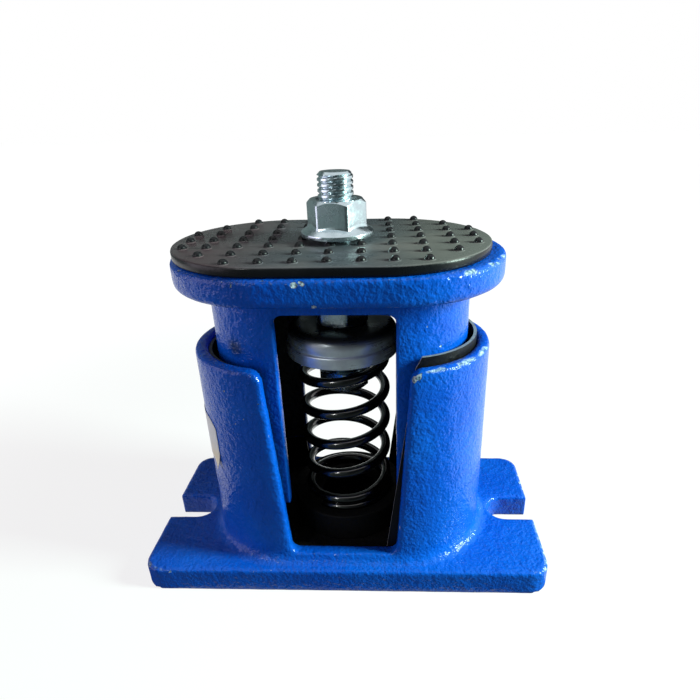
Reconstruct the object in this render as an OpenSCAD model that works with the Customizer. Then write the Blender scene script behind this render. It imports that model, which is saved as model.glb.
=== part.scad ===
// Housed spring vibration isolator.
// A cast bell rides on one coil spring inside a cast lower housing with a slotted foot.
// The origin is on the ground under the bolt, X runs along the foot and Y across it.

/* [Foot plate] */
// Length of the foot plate
base_l = 155; // [150:1:200]
// Width of the foot plate
base_w = 75; // [75:1:110]
// Thickness of the foot plate
base_t = 10; // [6:0.5:14]
// Radius of the foot plate's corners, seen from above
base_corner_r = 7; // [2:0.5:10]
// Rounding along the foot plate's upper edge
base_edge_r = 0.8; // [0.4:0.1:2]
// Width of the fixing slots
slot_w = 13.5; // [9:0.5:18]
// Depth of the fixing slots, from the end of the foot plate
slot_depth = 18; // [11:0.5:20]

/* [Lower housing] */
// Length of the lower housing
housing_l = 108.5; // [100:0.5:120]
// Width of the lower housing
housing_w = 64.4; // [56:0.2:66]
// Height of the lower housing's rim above the ground
rim_z = 90.6; // [80:0.2:96]
// Wall of the lower housing
housing_wall = 4.7; // [3.5:0.1:6]
// Rounding of the rim's edges
rim_r = 1.4; // [0.5:0.1:1.6]
// Fillet between the housing and the foot plate
foot_fillet = 4.5; // [2:0.5:5]
// Height of the inner floor above the foot plate's upper face
floor_rise = 2; // [1:0.5:4]
// Width of the wedge windows at the rim
window_top_w = 49.6; // [44:0.2:56]
// Width of the wedge windows at the sill
window_sill_w = 39.8; // [30:0.2:42]
// Height of the window sill above the inner floor
sill_rise = 2; // [1:0.5:6]
// Rounding of the window's lower corners
sill_corner_r = 3; // [1:0.5:6]
// Rounding where the window meets the rim
rim_corner_r = 4.5; // [1:0.5:7]

/* [Upper housing] */
// Length of the top flange
flange_l = 115; // [106:0.5:130]
// Width of the top flange
flange_w = 75; // [66:0.5:90]
// Thickness of the top flange
flange_t = 9.7; // [7:0.1:14]
// Rounding of the flange's upper edge
flange_top_r = 1.6; // [0.5:0.1:2.5]
// Rounding of the flange's lower edge
flange_under_r = 2.6; // [0.5:0.1:3.5]
// Wall of the bell
bell_wall = 4.5; // [3.5:0.1:6]
// Reach of the bell's legs below the flange
leg_l = 81.5; // [60:0.5:82]
// Fillet between the bell and the flange
neck_fillet = 2; // [0.5:0.5:4]
// Width of the straight windows between the legs
leg_window_w = 40; // [34:0.5:46]
// Rounding of the leg window's upper corners
leg_window_r = 2.4; // [1:0.1:5]
// Diameter of the boss that bears on the levelling nut
boss_d = 30; // [24:0.5:36]
// Height of that boss under the flange
boss_h = 6.2; // [4:0.1:10]

/* [Liners] */
// Thickness of the rubber liners
liner_t = 1.1; // [0.8:0.1:2]
// Gap between a liner and the lower housing's wall
liner_gap = 0.1; // [0.05:0.05:0.3]
// Gap between a liner and the bell along the straight sides
side_clear = 0.8; // [0.4:0.1:2]
// Gap between a liner and the bell at the round ends
end_clear = 2.1; // [0.5:0.1:4]
// Height that the right liner stands above the rim
right_liner_rise = 3.8; // [1:0.2:6]
// Depth of the left liner's edge below the rim
left_liner_drop = 1.6; // [0.5:0.1:5]
// Width between the liners at the sill
liner_sill_w = 32; // [26:0.5:38]
// Width between the liners at the rim
liner_top_w = 53; // [46:0.5:60]

/* [Top pad] */
// Length of the rubber pad
pad_l = 109.2; // [90:0.2:112]
// Width of the rubber pad
pad_w = 72.8; // [60:0.2:74]
// Thickness of the rubber pad
pad_t = 3.3; // [2:0.1:6]
// Offset of the pad along X from the bolt
pad_shift = -2; // [-2.5:0.1:2.5]
// Spacing of the domes
dome_pitch = 10.2; // [9:0.1:12]
// Radius of the domes
dome_r = 1.6; // [1:0.1:1.8]
// Turn of the dome pattern against the pad's long side
dome_turn = 2.6; // [0:0.1:4]
// Distance of the outermost dome columns from the middle
dome_end_x = 48.8; // [46:0.1:50]
// Least distance from the middle of a dome to the pad's edge
dome_edge = 2.4; // [1.9:0.1:6]
// Gap between the bolt and the hole in the pad
pad_hole_clear = 0.5; // [0.2:0.1:0.8]

/* [Spring] */
// Wire diameter
wire_d = 3.8; // [3:0.1:4.5]
// Mean diameter of the coil
coil_d = 31.4; // [28:0.2:33]
// Free length of the spring
spring_free = 73.8; // [68:0.2:80]
// Number of turns
spring_turns = 6.95; // [5:0.05:8]
// Closed turns at each end
closed_turns = 1.1; // [0.75:0.05:1.25]

/* [Spring seats] */
// Height of the rubber seat under the spring
seat_h = 8.5; // [5:0.5:12]
// Height of the lip round the spring's lowest turn
seat_lip_h = 3; // [2:0.5:5]
// Wall of that lip
seat_lip_wall = 4.6; // [2:0.2:6]
// Gap between the spring and the cup or lip round it
coil_clear = 0.6; // [0.3:0.1:1.2]
// Sheet thickness of the spring cap
cap_sheet = 2.2; // [1.5:0.1:3]
// Height of the spring cap's skirt
cap_h = 10.6; // [8:0.2:16]
// Height of the spring cap's wider lower band
cap_band_h = 4; // [2:0.2:6]
// Step out to that band
cap_band_step = 0.5; // [0.2:0.1:1]
// Outer rounding of the spring cap's shoulder
cap_shoulder_r = 3.6; // [2.6:0.1:5]

/* [Bolt and nuts] */
// Thread diameter
bolt_d = 12; // [10:0.5:14]
// Length of the bolt under its head
bolt_l = 70; // [66:0.5:80]
// Height of the bolt's head
bolt_head_h = 7.5; // [5:0.1:9]
// Size of the hexagons across their flats
hex_af = 18; // [16:0.5:22]
// Turn of the hexagons, as they were left by the spanner
hex_turn = 10; // [0:1:30]
// Height of the levelling nut
nut_h = 10.8; // [8:0.1:13]
// Height of the flange nut
flange_nut_h = 12; // [9:0.1:15]
// Diameter of the flange nut's collar
collar_d = 25; // [22:0.5:30]
// Thickness of the collar's edge
collar_t = 1.5; // [1:0.1:2.5]
// Length of thread that stands above the flange nut
stud_out = 8.6; // [4:0.1:14]
// Gap between a thread and the nut on it
thread_gap = 0.1; // [0.05:0.05:0.2]
// Gap between the bolt and the holes it passes through
bolt_clear = 0.75; // [0.4:0.05:1]

/* [Hidden] */
$fn = 64;

// Overlap of fused solids, and the reach of cuts past a face
bite = 2;
cut = 1;

// Paint, rubber and metal as they look
paint = "royalblue";
rubber = "#222222";
zinc = "silver";
spring_black = "#101010";

// Heights, stacked from the ground
floor_z = base_t + floor_rise;
sill_z = floor_z + sill_rise;
seat_top = floor_z + seat_h;
cap_under = seat_top + spring_free;
cap_top = cap_under + cap_sheet;
boss_z = cap_top + nut_h;
flange_z = boss_z + boss_h;
flange_top = flange_z + flange_t;
leg_z = flange_z - leg_l;
pad_top = flange_top + pad_t;
collar_z = pad_top + dome_r;
bolt_top = collar_z + flange_nut_h + stud_out;
head_top = bolt_top - bolt_l;

// Plan sizes that fit into one another
bore_l = housing_l - 2 * housing_wall;
bore_w = housing_w - 2 * housing_wall;
lined_l = bore_l - 2 * (liner_gap + liner_t);
lined_w = bore_w - 2 * (liner_gap + liner_t);
bell_l = lined_l - 2 * end_clear;
bell_w = lined_w - 2 * side_clear;
bolt_hole_d = bolt_d + 2 * bolt_clear;
pad_hole_d = bolt_d + 2 * pad_hole_clear;
cap_bore_d = coil_d + wire_d + 2 * coil_clear;
seat_d = cap_bore_d + 2 * seat_lip_wall;

// Points on an arc, from one angle to another
function arc(x, y, r, from, to, steps = 6) =
    [for (i = [0 : steps]) let (a = from + (to - from) * i / steps) [x + r * cos(a), y + r * sin(a)]];

// Closes a right-hand outline with its mirror image on the left
function both_sides(right) =
    concat(right, [for (i = [len(right) - 1 : -1 : 0]) [-right[i].x, right[i].y]]);

// Sweeps a profile, drawn as radius and height, round the corners and sides of a plan
module loop_sweep(length, width, corner_r) {
    dx = length / 2 - corner_r;
    dy = width / 2 - corner_r;
    for (quarter = [0 : 3]) {
        sx = quarter == 0 || quarter == 3 ? 1 : -1;
        sy = quarter < 2 ? 1 : -1;
        translate([sx * dx, sy * dy, 0])
            rotate([0, 0, 90 * quarter])
                rotate_extrude(angle = 90)
                    children();
    }
    for (side = [0, 1])
        mirror([0, side, 0])
            translate([-dx, dy, 0])
                rotate([90, 0, 90])
                    linear_extrude(height = 2 * dx)
                        children();
    if (dy > 0)
        for (side = [0, 1])
            mirror([side, 0, 0])
                translate([dx, dy, 0])
                    rotate([90, 0, 0])
                        linear_extrude(height = 2 * dy)
                            children();
}

// Plain upright block with half-round ends
module obround(length, width, from_z, to_z) {
    run = length - width;
    for (end = [-1, 1])
        translate([end * run / 2, 0, from_z])
            cylinder(d = width, h = to_z - from_z);
    translate([-run / 2, -width / 2, from_z])
        cube([run, width, to_z - from_z]);
}

// Wedge window of the lower housing, wider at the rim, with a flare where it meets the rim
function wedge(sill_w, top_z) =
    let (
        lean = atan((window_top_w - window_sill_w) / 2 / (rim_z - sill_z)),
        low_x = sill_w / 2 - sill_corner_r * (1 - sin(lean)) / cos(lean),
        flare_z = rim_z - rim_corner_r,
        flare_x = sill_w / 2 + (flare_z - sill_z) * tan(lean) + rim_corner_r / cos(lean)
    )
    both_sides(concat(
        arc(low_x, sill_z + sill_corner_r, sill_corner_r, 270, 360 - lean),
        arc(flare_x, flare_z, rim_corner_r, 180 - lean, 90),
        [[flare_x, top_z]]
    ));

module lower_housing() {
    color(paint) difference() {
        union() {
            foot_plate();
            housing_wall_ring();
            obround(bore_l + bite, bore_w + bite, base_t - bite, floor_z);
        }
        for (side = [-1, 1])
            fixing_slot(side);
        rotate([90, 0, 0])
            linear_extrude(height = housing_w + 2 * foot_fillet, center = true)
                polygon(wedge(window_sill_w, rim_z + cut));
    }
}

// Flat foot with round corners and a softened upper edge
module foot_plate() {
    loop_sweep(base_l, base_w, base_corner_r)
        polygon(concat(
            [[0, 0], [base_corner_r, 0]],
            arc(base_corner_r - base_edge_r, base_t - base_edge_r, base_edge_r, 0, 90),
            [[0, base_t]]
        ));
    core = [base_l - 2 * base_corner_r, base_w - 2 * base_corner_r, base_t];
    translate([-core.x / 2, -core.y / 2, 0])
        cube(core);
}

// Upright wall with a rounded rim and a fillet down to the foot
module housing_wall_ring() {
    outer = housing_w / 2;
    inner = outer - housing_wall;
    loop_sweep(housing_l, housing_w, outer)
        polygon(concat(
            [[inner, base_t - bite]],
            arc(inner + rim_r, rim_z - rim_r, rim_r, 180, 90),
            arc(outer - rim_r, rim_z - rim_r, rim_r, 90, 0),
            arc(outer + foot_fillet, base_t + foot_fillet, foot_fillet, 180, 270),
            [[outer + foot_fillet, base_t - bite]]
        ));
}

// Open slot with a round end, for a fixing bolt
module fixing_slot(side) {
    end_x = base_l / 2 - slot_depth + slot_w / 2;
    translate([side * end_x, 0, -cut])
        cylinder(d = slot_w, h = base_t + foot_fillet + cut);
    translate([side > 0 ? end_x : -base_l / 2 - cut, -slot_w / 2, -cut])
        cube([base_l / 2 + cut - end_x, slot_w, base_t + foot_fillet + cut]);
}

module upper_housing() {
    color(paint) difference() {
        union() {
            top_flange();
            bell_wall_ring();
            translate([0, 0, boss_z])
                cylinder(d = boss_d, h = boss_h + bite);
        }
        translate([0, 0, boss_z - cut])
            cylinder(d = bolt_hole_d, h = flange_top - boss_z + 2 * cut);
        rotate([90, 0, 0])
            linear_extrude(height = bell_w + 2 * neck_fillet, center = true)
                polygon(leg_window());
    }
}

// Straight window between the legs, round at its upper corners and open below
function leg_window() =
    both_sides(concat(
        [[leg_window_w / 2, leg_z - cut]],
        arc(leg_window_w / 2 - leg_window_r, boss_z - leg_window_r, leg_window_r, 0, 90)
    ));

// Flat flange with softened edges
module top_flange() {
    edge = flange_w / 2;
    loop_sweep(flange_l, flange_w, edge)
        polygon(concat(
            [[0, flange_z]],
            arc(edge - flange_under_r, flange_z + flange_under_r, flange_under_r, 270, 360),
            arc(edge - flange_top_r, flange_top - flange_top_r, flange_top_r, 0, 90),
            [[0, flange_top]]
        ));
}

// Wall of the bell, with a fillet up to the flange
module bell_wall_ring() {
    outer = bell_w / 2;
    inner = outer - bell_wall;
    loop_sweep(bell_l, bell_w, outer)
        polygon(concat(
            [[inner, leg_z], [outer, leg_z]],
            arc(outer + neck_fillet, flange_z - neck_fillet, neck_fillet, 180, 90),
            [[outer + neck_fillet, flange_z + bite], [inner, flange_z + bite]]
        ));
}

// Rubber sheet with rows of domes
module top_pad() {
    rows = floor(pad_w / 2 / dome_pitch);
    plain_columns = floor((dome_end_x - 2 * dome_r - cut) / dome_pitch);
    color(rubber) difference() {
        union() {
            translate([pad_shift, 0, 0])
                obround(pad_l, pad_w, flange_top, pad_top);
            for (column = [-plain_columns - 1 : plain_columns + 1]) {
                end_column = abs(column) > plain_columns;
                x = end_column ? sign(column) * dome_end_x : column * dome_pitch;
                for (row = [-rows : rows])
                    dome(x, row * dome_pitch);
            }
        }
        translate([0, 0, flange_top - cut])
            cylinder(d = pad_hole_d, h = pad_t + dome_r + 2 * cut);
    }
}

// Half-round dome at a place in the turned pattern, kept off the hole and the pad's edge
module dome(x, y) {
    place = [x * cos(dome_turn) - y * sin(dome_turn), x * sin(dome_turn) + y * cos(dome_turn)];
    past_side = max(abs(place.x) - (pad_l - pad_w) / 2, 0);
    inside = pad_w / 2 - norm([past_side, place.y]) > dome_edge;
    off_hole = norm([place.x + pad_shift, place.y]) > pad_hole_d / 2 + dome_r;
    if (inside && off_hole)
        translate([place.x + pad_shift, place.y, pad_top])
            sphere(r = dome_r);
}

// Upright hexagon with its corners turned off at the chosen ends
module hexagon(height, chamfer_low, chamfer_high) {
    corner_r = hex_af / sqrt(3);
    reach = corner_r + cut;
    rise = (reach - hex_af / 2) * tan(30);
    intersection() {
        rotate([0, 0, hex_turn])
            cylinder(r = corner_r, h = height, $fn = 6);
        rotate_extrude()
            polygon(concat(
                [[0, 0]],
                chamfer_low ? [[hex_af / 2, 0], [reach, rise]] : [[reach, 0]],
                chamfer_high ? [[reach, height - rise], [hex_af / 2, height]] : [[reach, height]],
                [[0, height]]
            ));
    }
}

module flange_nut() {
    slope = 2;
    color(zinc) translate([0, 0, collar_z]) difference() {
        union() {
            hexagon(flange_nut_h, false, true);
            rotate_extrude()
                polygon([[0, 0], [collar_d / 2, 0], [collar_d / 2, collar_t],
                    [hex_af / 2, collar_t + slope], [0, collar_t + slope]]);
        }
        translate([0, 0, -cut])
            cylinder(d = bolt_d + 2 * thread_gap, h = flange_nut_h + 2 * cut);
    }
}

module hex_bolt() {
    tip = 1.2;
    color(zinc) {
        translate([0, 0, head_top - bolt_head_h])
            hexagon(bolt_head_h, true, false);
        translate([0, 0, head_top - bite])
            cylinder(d = bolt_d, h = bolt_l + bite - tip);
        translate([0, 0, bolt_top - tip])
            cylinder(d1 = bolt_d, d2 = bolt_d - 2 * tip, h = tip);
    }
}

module levelling_nut() {
    color(zinc) translate([0, 0, cap_top]) difference() {
        hexagon(nut_h, true, true);
        translate([0, 0, -cut])
            cylinder(d = bolt_d + 2 * thread_gap, h = nut_h + 2 * cut);
    }
}

// Pressed cup over the spring's upper end, with a hole for the bolt
module spring_cap() {
    inner = cap_bore_d / 2;
    outer = inner + cap_sheet;
    low = cap_top - cap_h;
    bend_r = cap_shoulder_r - cap_sheet;
    color(zinc) rotate_extrude()
        polygon(concat(
            [[bolt_hole_d / 2, cap_under]],
            arc(inner - bend_r, cap_under - bend_r, bend_r, 90, 0),
            [[inner, low], [outer + cap_band_step, low], [outer + cap_band_step, low + cap_band_h],
                [outer, low + cap_band_h + cap_band_step]],
            arc(outer - cap_shoulder_r, cap_top - cap_shoulder_r, cap_shoulder_r, 0, 90),
            [[bolt_hole_d / 2, cap_top]]
        ));
}

// Rise of the wire along the spring, in turns: close at both ends, open between
function eased(u, span) = u < 0 ? 0 : u < span ? u * u / (2 * span) : u - span / 2;
function wire_rise(turn) =
    let (
        close_pitch = 1.03 * wire_d,
        span = 0.1,
        open_turns = spring_turns - 2 * closed_turns - span,
        spread = (spring_free - wire_d - close_pitch * spring_turns) / open_turns
    )
    close_pitch * turn + spread * (eased(turn - closed_turns, span)
        - eased(turn - spring_turns + closed_turns + span, span));

// Right-hand coil, swept as rings of points along the wire
module spring() {
    sides = 10;
    rings = round(28 * spring_turns);
    start_angle = 234;
    points = [for (i = [0 : rings], j = [0 : sides - 1])
        let (
            turn = spring_turns * i / rings,
            a = start_angle + 360 * turn,
            b = 360 * j / sides + 90,
            r = coil_d / 2 + wire_d / 2 * cos(b),
            z = seat_top + wire_d / 2 + wire_rise(turn) + wire_d / 2 * sin(b)
        )
        [r * cos(a), r * sin(a), z]];
    sleeve = [for (i = [0 : rings - 1], j = [0 : sides - 1])
        let (k = (j + 1) % sides)
        [i * sides + j, i * sides + k, (i + 1) * sides + k, (i + 1) * sides + j]];
    first_end = [for (j = [sides - 1 : -1 : 0]) j];
    last_end = [for (j = [0 : sides - 1]) rings * sides + j];
    color(spring_black)
        polyhedron(points, concat([first_end], sleeve, [last_end]));
}

// Rubber seat with a lip that centres the spring
module spring_seat() {
    hole_r = coil_d / 2 - wire_d - coil_clear;
    lip_r = cap_bore_d / 2;
    color(rubber) rotate_extrude()
        polygon([[hole_r, floor_z], [seat_d / 2, floor_z], [seat_d / 2, seat_top + seat_lip_h],
            [lip_r, seat_top + seat_lip_h], [lip_r, seat_top], [hole_r, seat_top]]);
}

// Rubber sheet round one end of the lower housing, on the side given by its sign
module liner(side, top_z) {
    outer = bore_w / 2 - liner_gap;
    color(rubber) difference() {
        loop_sweep(bore_l - 2 * liner_gap, bore_w - 2 * liner_gap, outer)
            polygon([[outer - liner_t, floor_z], [outer, floor_z],
                [outer, top_z], [outer - liner_t, top_z]]);
        rotate([90, 0, 0])
            linear_extrude(height = housing_w, center = true)
                polygon(both_sides([[liner_sill_w / 2, floor_z - cut], [liner_top_w / 2, rim_z],
                    [liner_top_w / 2, rim_z + right_liner_rise + cut]]));
        translate([side > 0 ? -housing_l : 0, -housing_w / 2, 0])
            cube([housing_l, housing_w, top_z + cut]);
    }
}

module liner_left() {
    liner(-1, rim_z - left_liner_drop);
}

module liner_right() {
    liner(1, rim_z + right_liner_rise);
}

lower_housing();
upper_housing();
top_pad();
flange_nut();
hex_bolt();
levelling_nut();
spring_cap();
spring();
spring_seat();
liner_left();
liner_right();
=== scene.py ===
# %% [markdown]
# # A housed spring vibration isolator
# A machine stands on mounts like this one so that its shaking doesn't reach the floor. A cast bell
# rides on a coil spring inside a cast housing. The solids come packed as a frame, in metres, with the
# origin on the ground under the bolt. The lesson dresses that frame: each piece gets the form and the
# finish of the real one, and keeps the frame's sizes.

# %% Load the frame
import math

import bpy
import numpy as np
from mathutils import Matrix, Vector, noise


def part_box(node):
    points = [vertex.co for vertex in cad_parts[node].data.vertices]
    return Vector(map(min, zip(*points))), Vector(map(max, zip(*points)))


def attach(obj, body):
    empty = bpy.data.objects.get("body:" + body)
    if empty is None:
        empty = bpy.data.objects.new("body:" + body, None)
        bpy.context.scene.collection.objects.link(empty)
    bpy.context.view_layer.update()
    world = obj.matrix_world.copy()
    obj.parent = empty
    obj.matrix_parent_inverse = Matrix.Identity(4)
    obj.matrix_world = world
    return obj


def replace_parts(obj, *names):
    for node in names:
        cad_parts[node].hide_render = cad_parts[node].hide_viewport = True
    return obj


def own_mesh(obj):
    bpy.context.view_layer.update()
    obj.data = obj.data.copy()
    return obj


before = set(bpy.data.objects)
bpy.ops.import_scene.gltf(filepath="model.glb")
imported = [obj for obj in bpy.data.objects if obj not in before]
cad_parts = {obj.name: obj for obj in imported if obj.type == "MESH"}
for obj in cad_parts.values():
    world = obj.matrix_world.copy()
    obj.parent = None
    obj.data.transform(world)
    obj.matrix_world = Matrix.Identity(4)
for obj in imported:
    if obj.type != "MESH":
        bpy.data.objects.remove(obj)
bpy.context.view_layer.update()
MM = 0.001
print("nodes:", sorted(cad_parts))

# %% [markdown]
# ## The camera
# A close camera with a wide lens sees the top pad and the foot at clearly different scales. Its place and
# angles could be set by eye, but sizes read from a picture are only as good as the camera, so these
# values were solved from outlines and circles of the object. The small shift puts the picture's middle
# where it is without turning the camera.

# %% Camera
picture_px = 700
focal_px = 550
shift_px = (-20.62, 18.24)
camera_mm = (19.18, -189.87, 168.24)
yaw, pitch, roll = 0.04685, 0.44826, 0.02391  # radians

camera_data = bpy.data.cameras.new("photo_camera")
camera_data.sensor_width = 36
camera_data.lens = camera_data.sensor_width * focal_px / picture_px
camera_data.shift_x = shift_px[0] / picture_px
camera_data.shift_y = shift_px[1] / picture_px
camera_data.clip_start = 0.01
camera = bpy.data.objects.new("photo_camera", camera_data)
bpy.context.scene.collection.objects.link(camera)
look = Matrix.Rotation(yaw, 4, "Z") @ Matrix.Rotation(-pitch, 4, "X") @ Matrix.Rotation(roll, 4, "Y")
stand = Matrix.Translation(Vector(camera_mm) * MM)
camera.matrix_world = stand @ look @ Matrix.Rotation(math.pi / 2, 4, "X")
bpy.context.scene.camera = camera
print("camera at", [round(value / MM, 1) for value in camera.matrix_world.translation], "mm")

# %% [markdown]
# ## The two castings
# Both housings are sand castings: every edge is round, and the skin is a little uneven. Bevelling the
# solids edge by edge would be slow where curves cross. A voxel remesh wraps the whole solid in even small
# squares, and a few rounds of smoothing then melt each edge by about a millimetre, as sand does. A weak
# noise moves the skin in and out, and each point stays inside the box of its solid.

# %% Remesh the castings
skin_square = 0.85  # mm, side of the small squares
melting_rounds = 5
broad_lump, small_lump, lump_depth = 7, 2.6, 0.05  # mm


def read_points(mesh, what):
    """The vertices' places or normals, one row each."""
    values = np.empty(len(mesh.vertices) * 3)
    mesh.vertices.foreach_get(what, values)
    return values.reshape(-1, 3)


def report(piece):
    size = [round(side / MM, 1) for side in piece.dimensions]
    print(piece.name, "faces:", len(piece.data.polygons), "size mm:", size)


def casting(node, body):
    """A copy of a node's solid with melted edges and an uneven skin."""
    piece = bpy.data.objects.new(node + "_casting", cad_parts[node].data.copy())
    bpy.context.scene.collection.objects.link(piece)
    wrap = piece.modifiers.new("even skin", "REMESH")
    wrap.mode = "VOXEL"
    wrap.voxel_size = skin_square * MM
    melt = piece.modifiers.new("melted edges", "SMOOTH")
    melt.factor = 0.5
    melt.iterations = melting_rounds
    evaluated = piece.evaluated_get(bpy.context.evaluated_depsgraph_get())
    mesh = bpy.data.meshes.new_from_object(evaluated)
    piece.modifiers.clear()
    piece.data = mesh
    mesh.shade_smooth()
    place, normal = read_points(mesh, "co"), read_points(mesh, "normal")
    lump = [noise.noise(Vector(p) / (broad_lump * MM)) + 0.5 * noise.noise(Vector(p) / (small_lump * MM))
            for p in place]
    moved = place + normal * (lump_depth * MM * np.array(lump))[:, None]
    low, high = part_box(node)
    mesh.vertices.foreach_set("co", np.clip(moved, low, high).ravel())
    mesh.update()
    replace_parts(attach(piece, body), node)
    report(piece)
    return piece


lower_casting = casting("lower_housing", "base")
upper_casting = casting("upper_housing", "top")

# %% [markdown]
# ## Where paint wears
# Paint goes first on outer edges, where castings knock against each other. To let the finish know where
# an edge is, each vertex stores how far it stands out from the mean of its neighbours. The values are
# spread a little, so that the wear reaches past the very corner.

# %% Measure the edges
sharp_edge = 0.065  # mm that a vertex on a clear edge stands out
spread_rounds = 2


def mark_edges(piece):
    """Store on each vertex how much of an outer edge it is, from 0 to 1."""
    mesh = piece.data
    place, normal = read_points(mesh, "co"), read_points(mesh, "normal")
    ends = np.empty(len(mesh.edges) * 2, int)
    mesh.edges.foreach_get("vertices", ends)
    ends = ends.reshape(-1, 2)
    degree = np.maximum(np.bincount(ends.ravel(), minlength=len(place)), 1)[:, None]

    def neighbour_mean(values):
        total = np.zeros_like(values)
        np.add.at(total, ends[:, 0], values[ends[:, 1]])
        np.add.at(total, ends[:, 1], values[ends[:, 0]])
        return total / degree

    stands_out = ((place - neighbour_mean(place)) * normal).sum(1, keepdims=True)
    edge = np.clip(stands_out / (sharp_edge * MM), 0, 1)
    for _ in range(spread_rounds):
        edge = 0.5 * edge + 0.5 * neighbour_mean(edge)
    mesh.attributes.new("edge", "FLOAT", "POINT").data.foreach_set("value", edge.ravel())
    print(piece.name, "share of edge points:", round(float((edge > 0.3).mean()), 3))


mark_edges(lower_casting)
mark_edges(upper_casting)

# %% [markdown]
# ## Painted shade in the hollows
# The hollows of the castings lie in deep shade, so a painted shade gives them a near black in place of the
# blue. The hollow of each casting has straight sides and half-round ends. A point lies in it when its
# distance to the hollow's middle line is less than the radius of those ends. The paint could be masked
# with a second material too, but a value on each vertex fades softly at the border.

# %% Measure the hollows
wall_length, wall_width = 108.5, 64.4  # mm, outside of the lower housing's wall
wall_run = (wall_length - wall_width) / 2  # from the middle to where the round end begins
bell_run = 20.75


def mark_inside(piece, run, radius, floor_z, roof_z):
    """Store on each vertex whether it lies in the hollow, from 0 to 1."""
    x, y, z = (read_points(piece.data, "co") / MM).T
    reach = np.hypot(np.maximum(np.abs(x) - run, 0), y)
    inside = np.clip((radius - reach) / 0.6, 0, 1)
    inside *= np.clip((z - floor_z) / 0.4, 0, 1)
    inside *= np.clip((roof_z - z) / 0.8, 0, 1)
    layer = piece.data.attributes.new("inside", "FLOAT", "POINT")
    layer.data.foreach_set("value", inside.astype(np.float32))
    print(piece.name, "share of hollow points:", round(float((inside > 0.5).mean()), 3))


mark_inside(lower_casting, wall_run, radius=28.1, floor_z=11.4, roof_z=88.5)
mark_inside(upper_casting, bell_run, radius=21.6, floor_z=0, roof_z=114.4)

# %% [markdown]
# ## Small tools for finishes
# Every finish is a network of nodes round one Principled shader. Such networks can be wired by hand in the
# editor, but the same few steps come back each time: a cloudy noise of a given size, a soft threshold, a
# mix of two colours and a bump. So they are short calls here. They read the piece's own coordinates, and
# the pattern moves with the piece.

# %% Finish helpers
class Finish:
    """One material: a Principled shader and the nodes that drive it."""

    def __init__(self, name, **sockets):
        self.material = bpy.data.materials.new(name)
        self.material.use_nodes = True
        self.tree = self.material.node_tree
        self.shader = self.tree.nodes["Principled BSDF"]
        self.place = self.tree.nodes.new("ShaderNodeTexCoord").outputs["Object"]
        for socket, value in sockets.items():
            self.shader.inputs[socket.replace("_", " ")].default_value = value

    def node(self, kind, *values, **settings):
        """A new node; each value is set on, or linked to, the next input."""
        made = self.tree.nodes.new("ShaderNode" + kind)
        for key, value in settings.items():
            setattr(made, key, value)
        for socket, value in zip(made.inputs, values):
            if isinstance(value, bpy.types.NodeSocket):
                self.tree.links.new(value, socket)
            else:
                socket.default_value = value
        return made

    def axis(self, letter):
        """The coordinate X, Y or Z in metres."""
        return self.node("SeparateXYZ", self.place).outputs[letter]

    def mark(self, name):
        """A value that was stored on the mesh."""
        return self.node("Attribute", attribute_name=name).outputs["Fac"]

    def cloud(self, size_mm, detail):
        made = self.node("TexNoise", self.place)
        made.inputs["Scale"].default_value = 1 / (size_mm * MM)
        made.inputs["Detail"].default_value = detail
        return made.outputs["Fac"]

    def near(self, point_mm, where=None):
        """Distance in millimetres to a point of the piece."""
        made = self.node("VectorMath", where or self.place, operation="DISTANCE")
        made.inputs[1].default_value = [value * MM for value in point_mm]
        return self.math("DIVIDE", made.outputs["Value"], MM)

    def step(self, value, low, high, to_low=0.0, to_high=1.0):
        """A soft change from to_low at low to to_high at high."""
        values = (value, low, high, to_low, to_high)
        return self.node("MapRange", *values, interpolation_type="SMOOTHSTEP").outputs[0]

    def math(self, operation, a, b):
        return self.node("Math", a, b, operation=operation).outputs[0]

    def plus(self, a, b):
        return self.math("ADD", a, b)

    def minus(self, a, b):
        return self.math("SUBTRACT", a, b)

    def times(self, a, b):
        return self.math("MULTIPLY", a, b)

    def larger(self, a, b):
        return self.math("MAXIMUM", a, b)

    def mix(self, share, first, second):
        """The first colour where the share is 0, the second where it is 1."""
        made = self.node("Mix", data_type="RGBA")
        self.tree.links.new(share, made.inputs[0])
        for socket, colour in zip(made.inputs[6:8], (first, second)):
            if isinstance(colour, bpy.types.NodeSocket):
                self.tree.links.new(colour, socket)
            else:
                socket.default_value = (*colour, 1.0)
        return made.outputs[2]

    def drive(self, socket, value):
        self.tree.links.new(value, self.shader.inputs[socket])

    def bump(self, height, depth_mm):
        made = self.node("Bump")
        made.inputs["Distance"].default_value = depth_mm * MM
        self.tree.links.new(height, made.inputs["Height"])
        self.drive("Normal", made.outputs["Normal"])
        self.drive("Coat Normal", made.outputs["Normal"])

    def put_on(self, *pieces):
        for piece in pieces:
            piece.data.materials.clear()
            piece.data.materials.append(self.material)
        print(self.material.name, "on", *[piece.name for piece in pieces])


print("finish helpers ready")

# %% [markdown]
# ## Chips, rubbed edges and painted glints
# Used castings lose paint in two ways: knocks chip it off in spots, and handling rubs it off the edges.
# Chips could be painted by hand on a map. Here each one is a place and a radius: the distance to the place
# is disturbed by noise and cut off, which gives ragged edges. The edge value from before does the rubbed
# rims, and it needs less of an edge in the stretches that were handled most. On the lit right side the
# same pale spots and rims are also painted glints and highlights, where the window lamp catches the edges.

# %% Chips and wear
paint = Finish("blue_gloss_paint", Specular_IOR_Level=0.1, Coat_Weight=0.26, Coat_Roughness=0.1)
wander_size, wander_reach = 1.6, 2.2  # mm
wander_noise = paint.node("TexNoise", paint.place)
wander_noise.inputs["Scale"].default_value = 1 / (wander_size * MM)
wander = paint.node("VectorMath", wander_noise.outputs["Color"], operation="SCALE")
wander.inputs["Scale"].default_value = wander_reach * MM
ragged = paint.node("VectorMath", paint.place, wander.outputs[0], operation="ADD").outputs[0]
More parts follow.
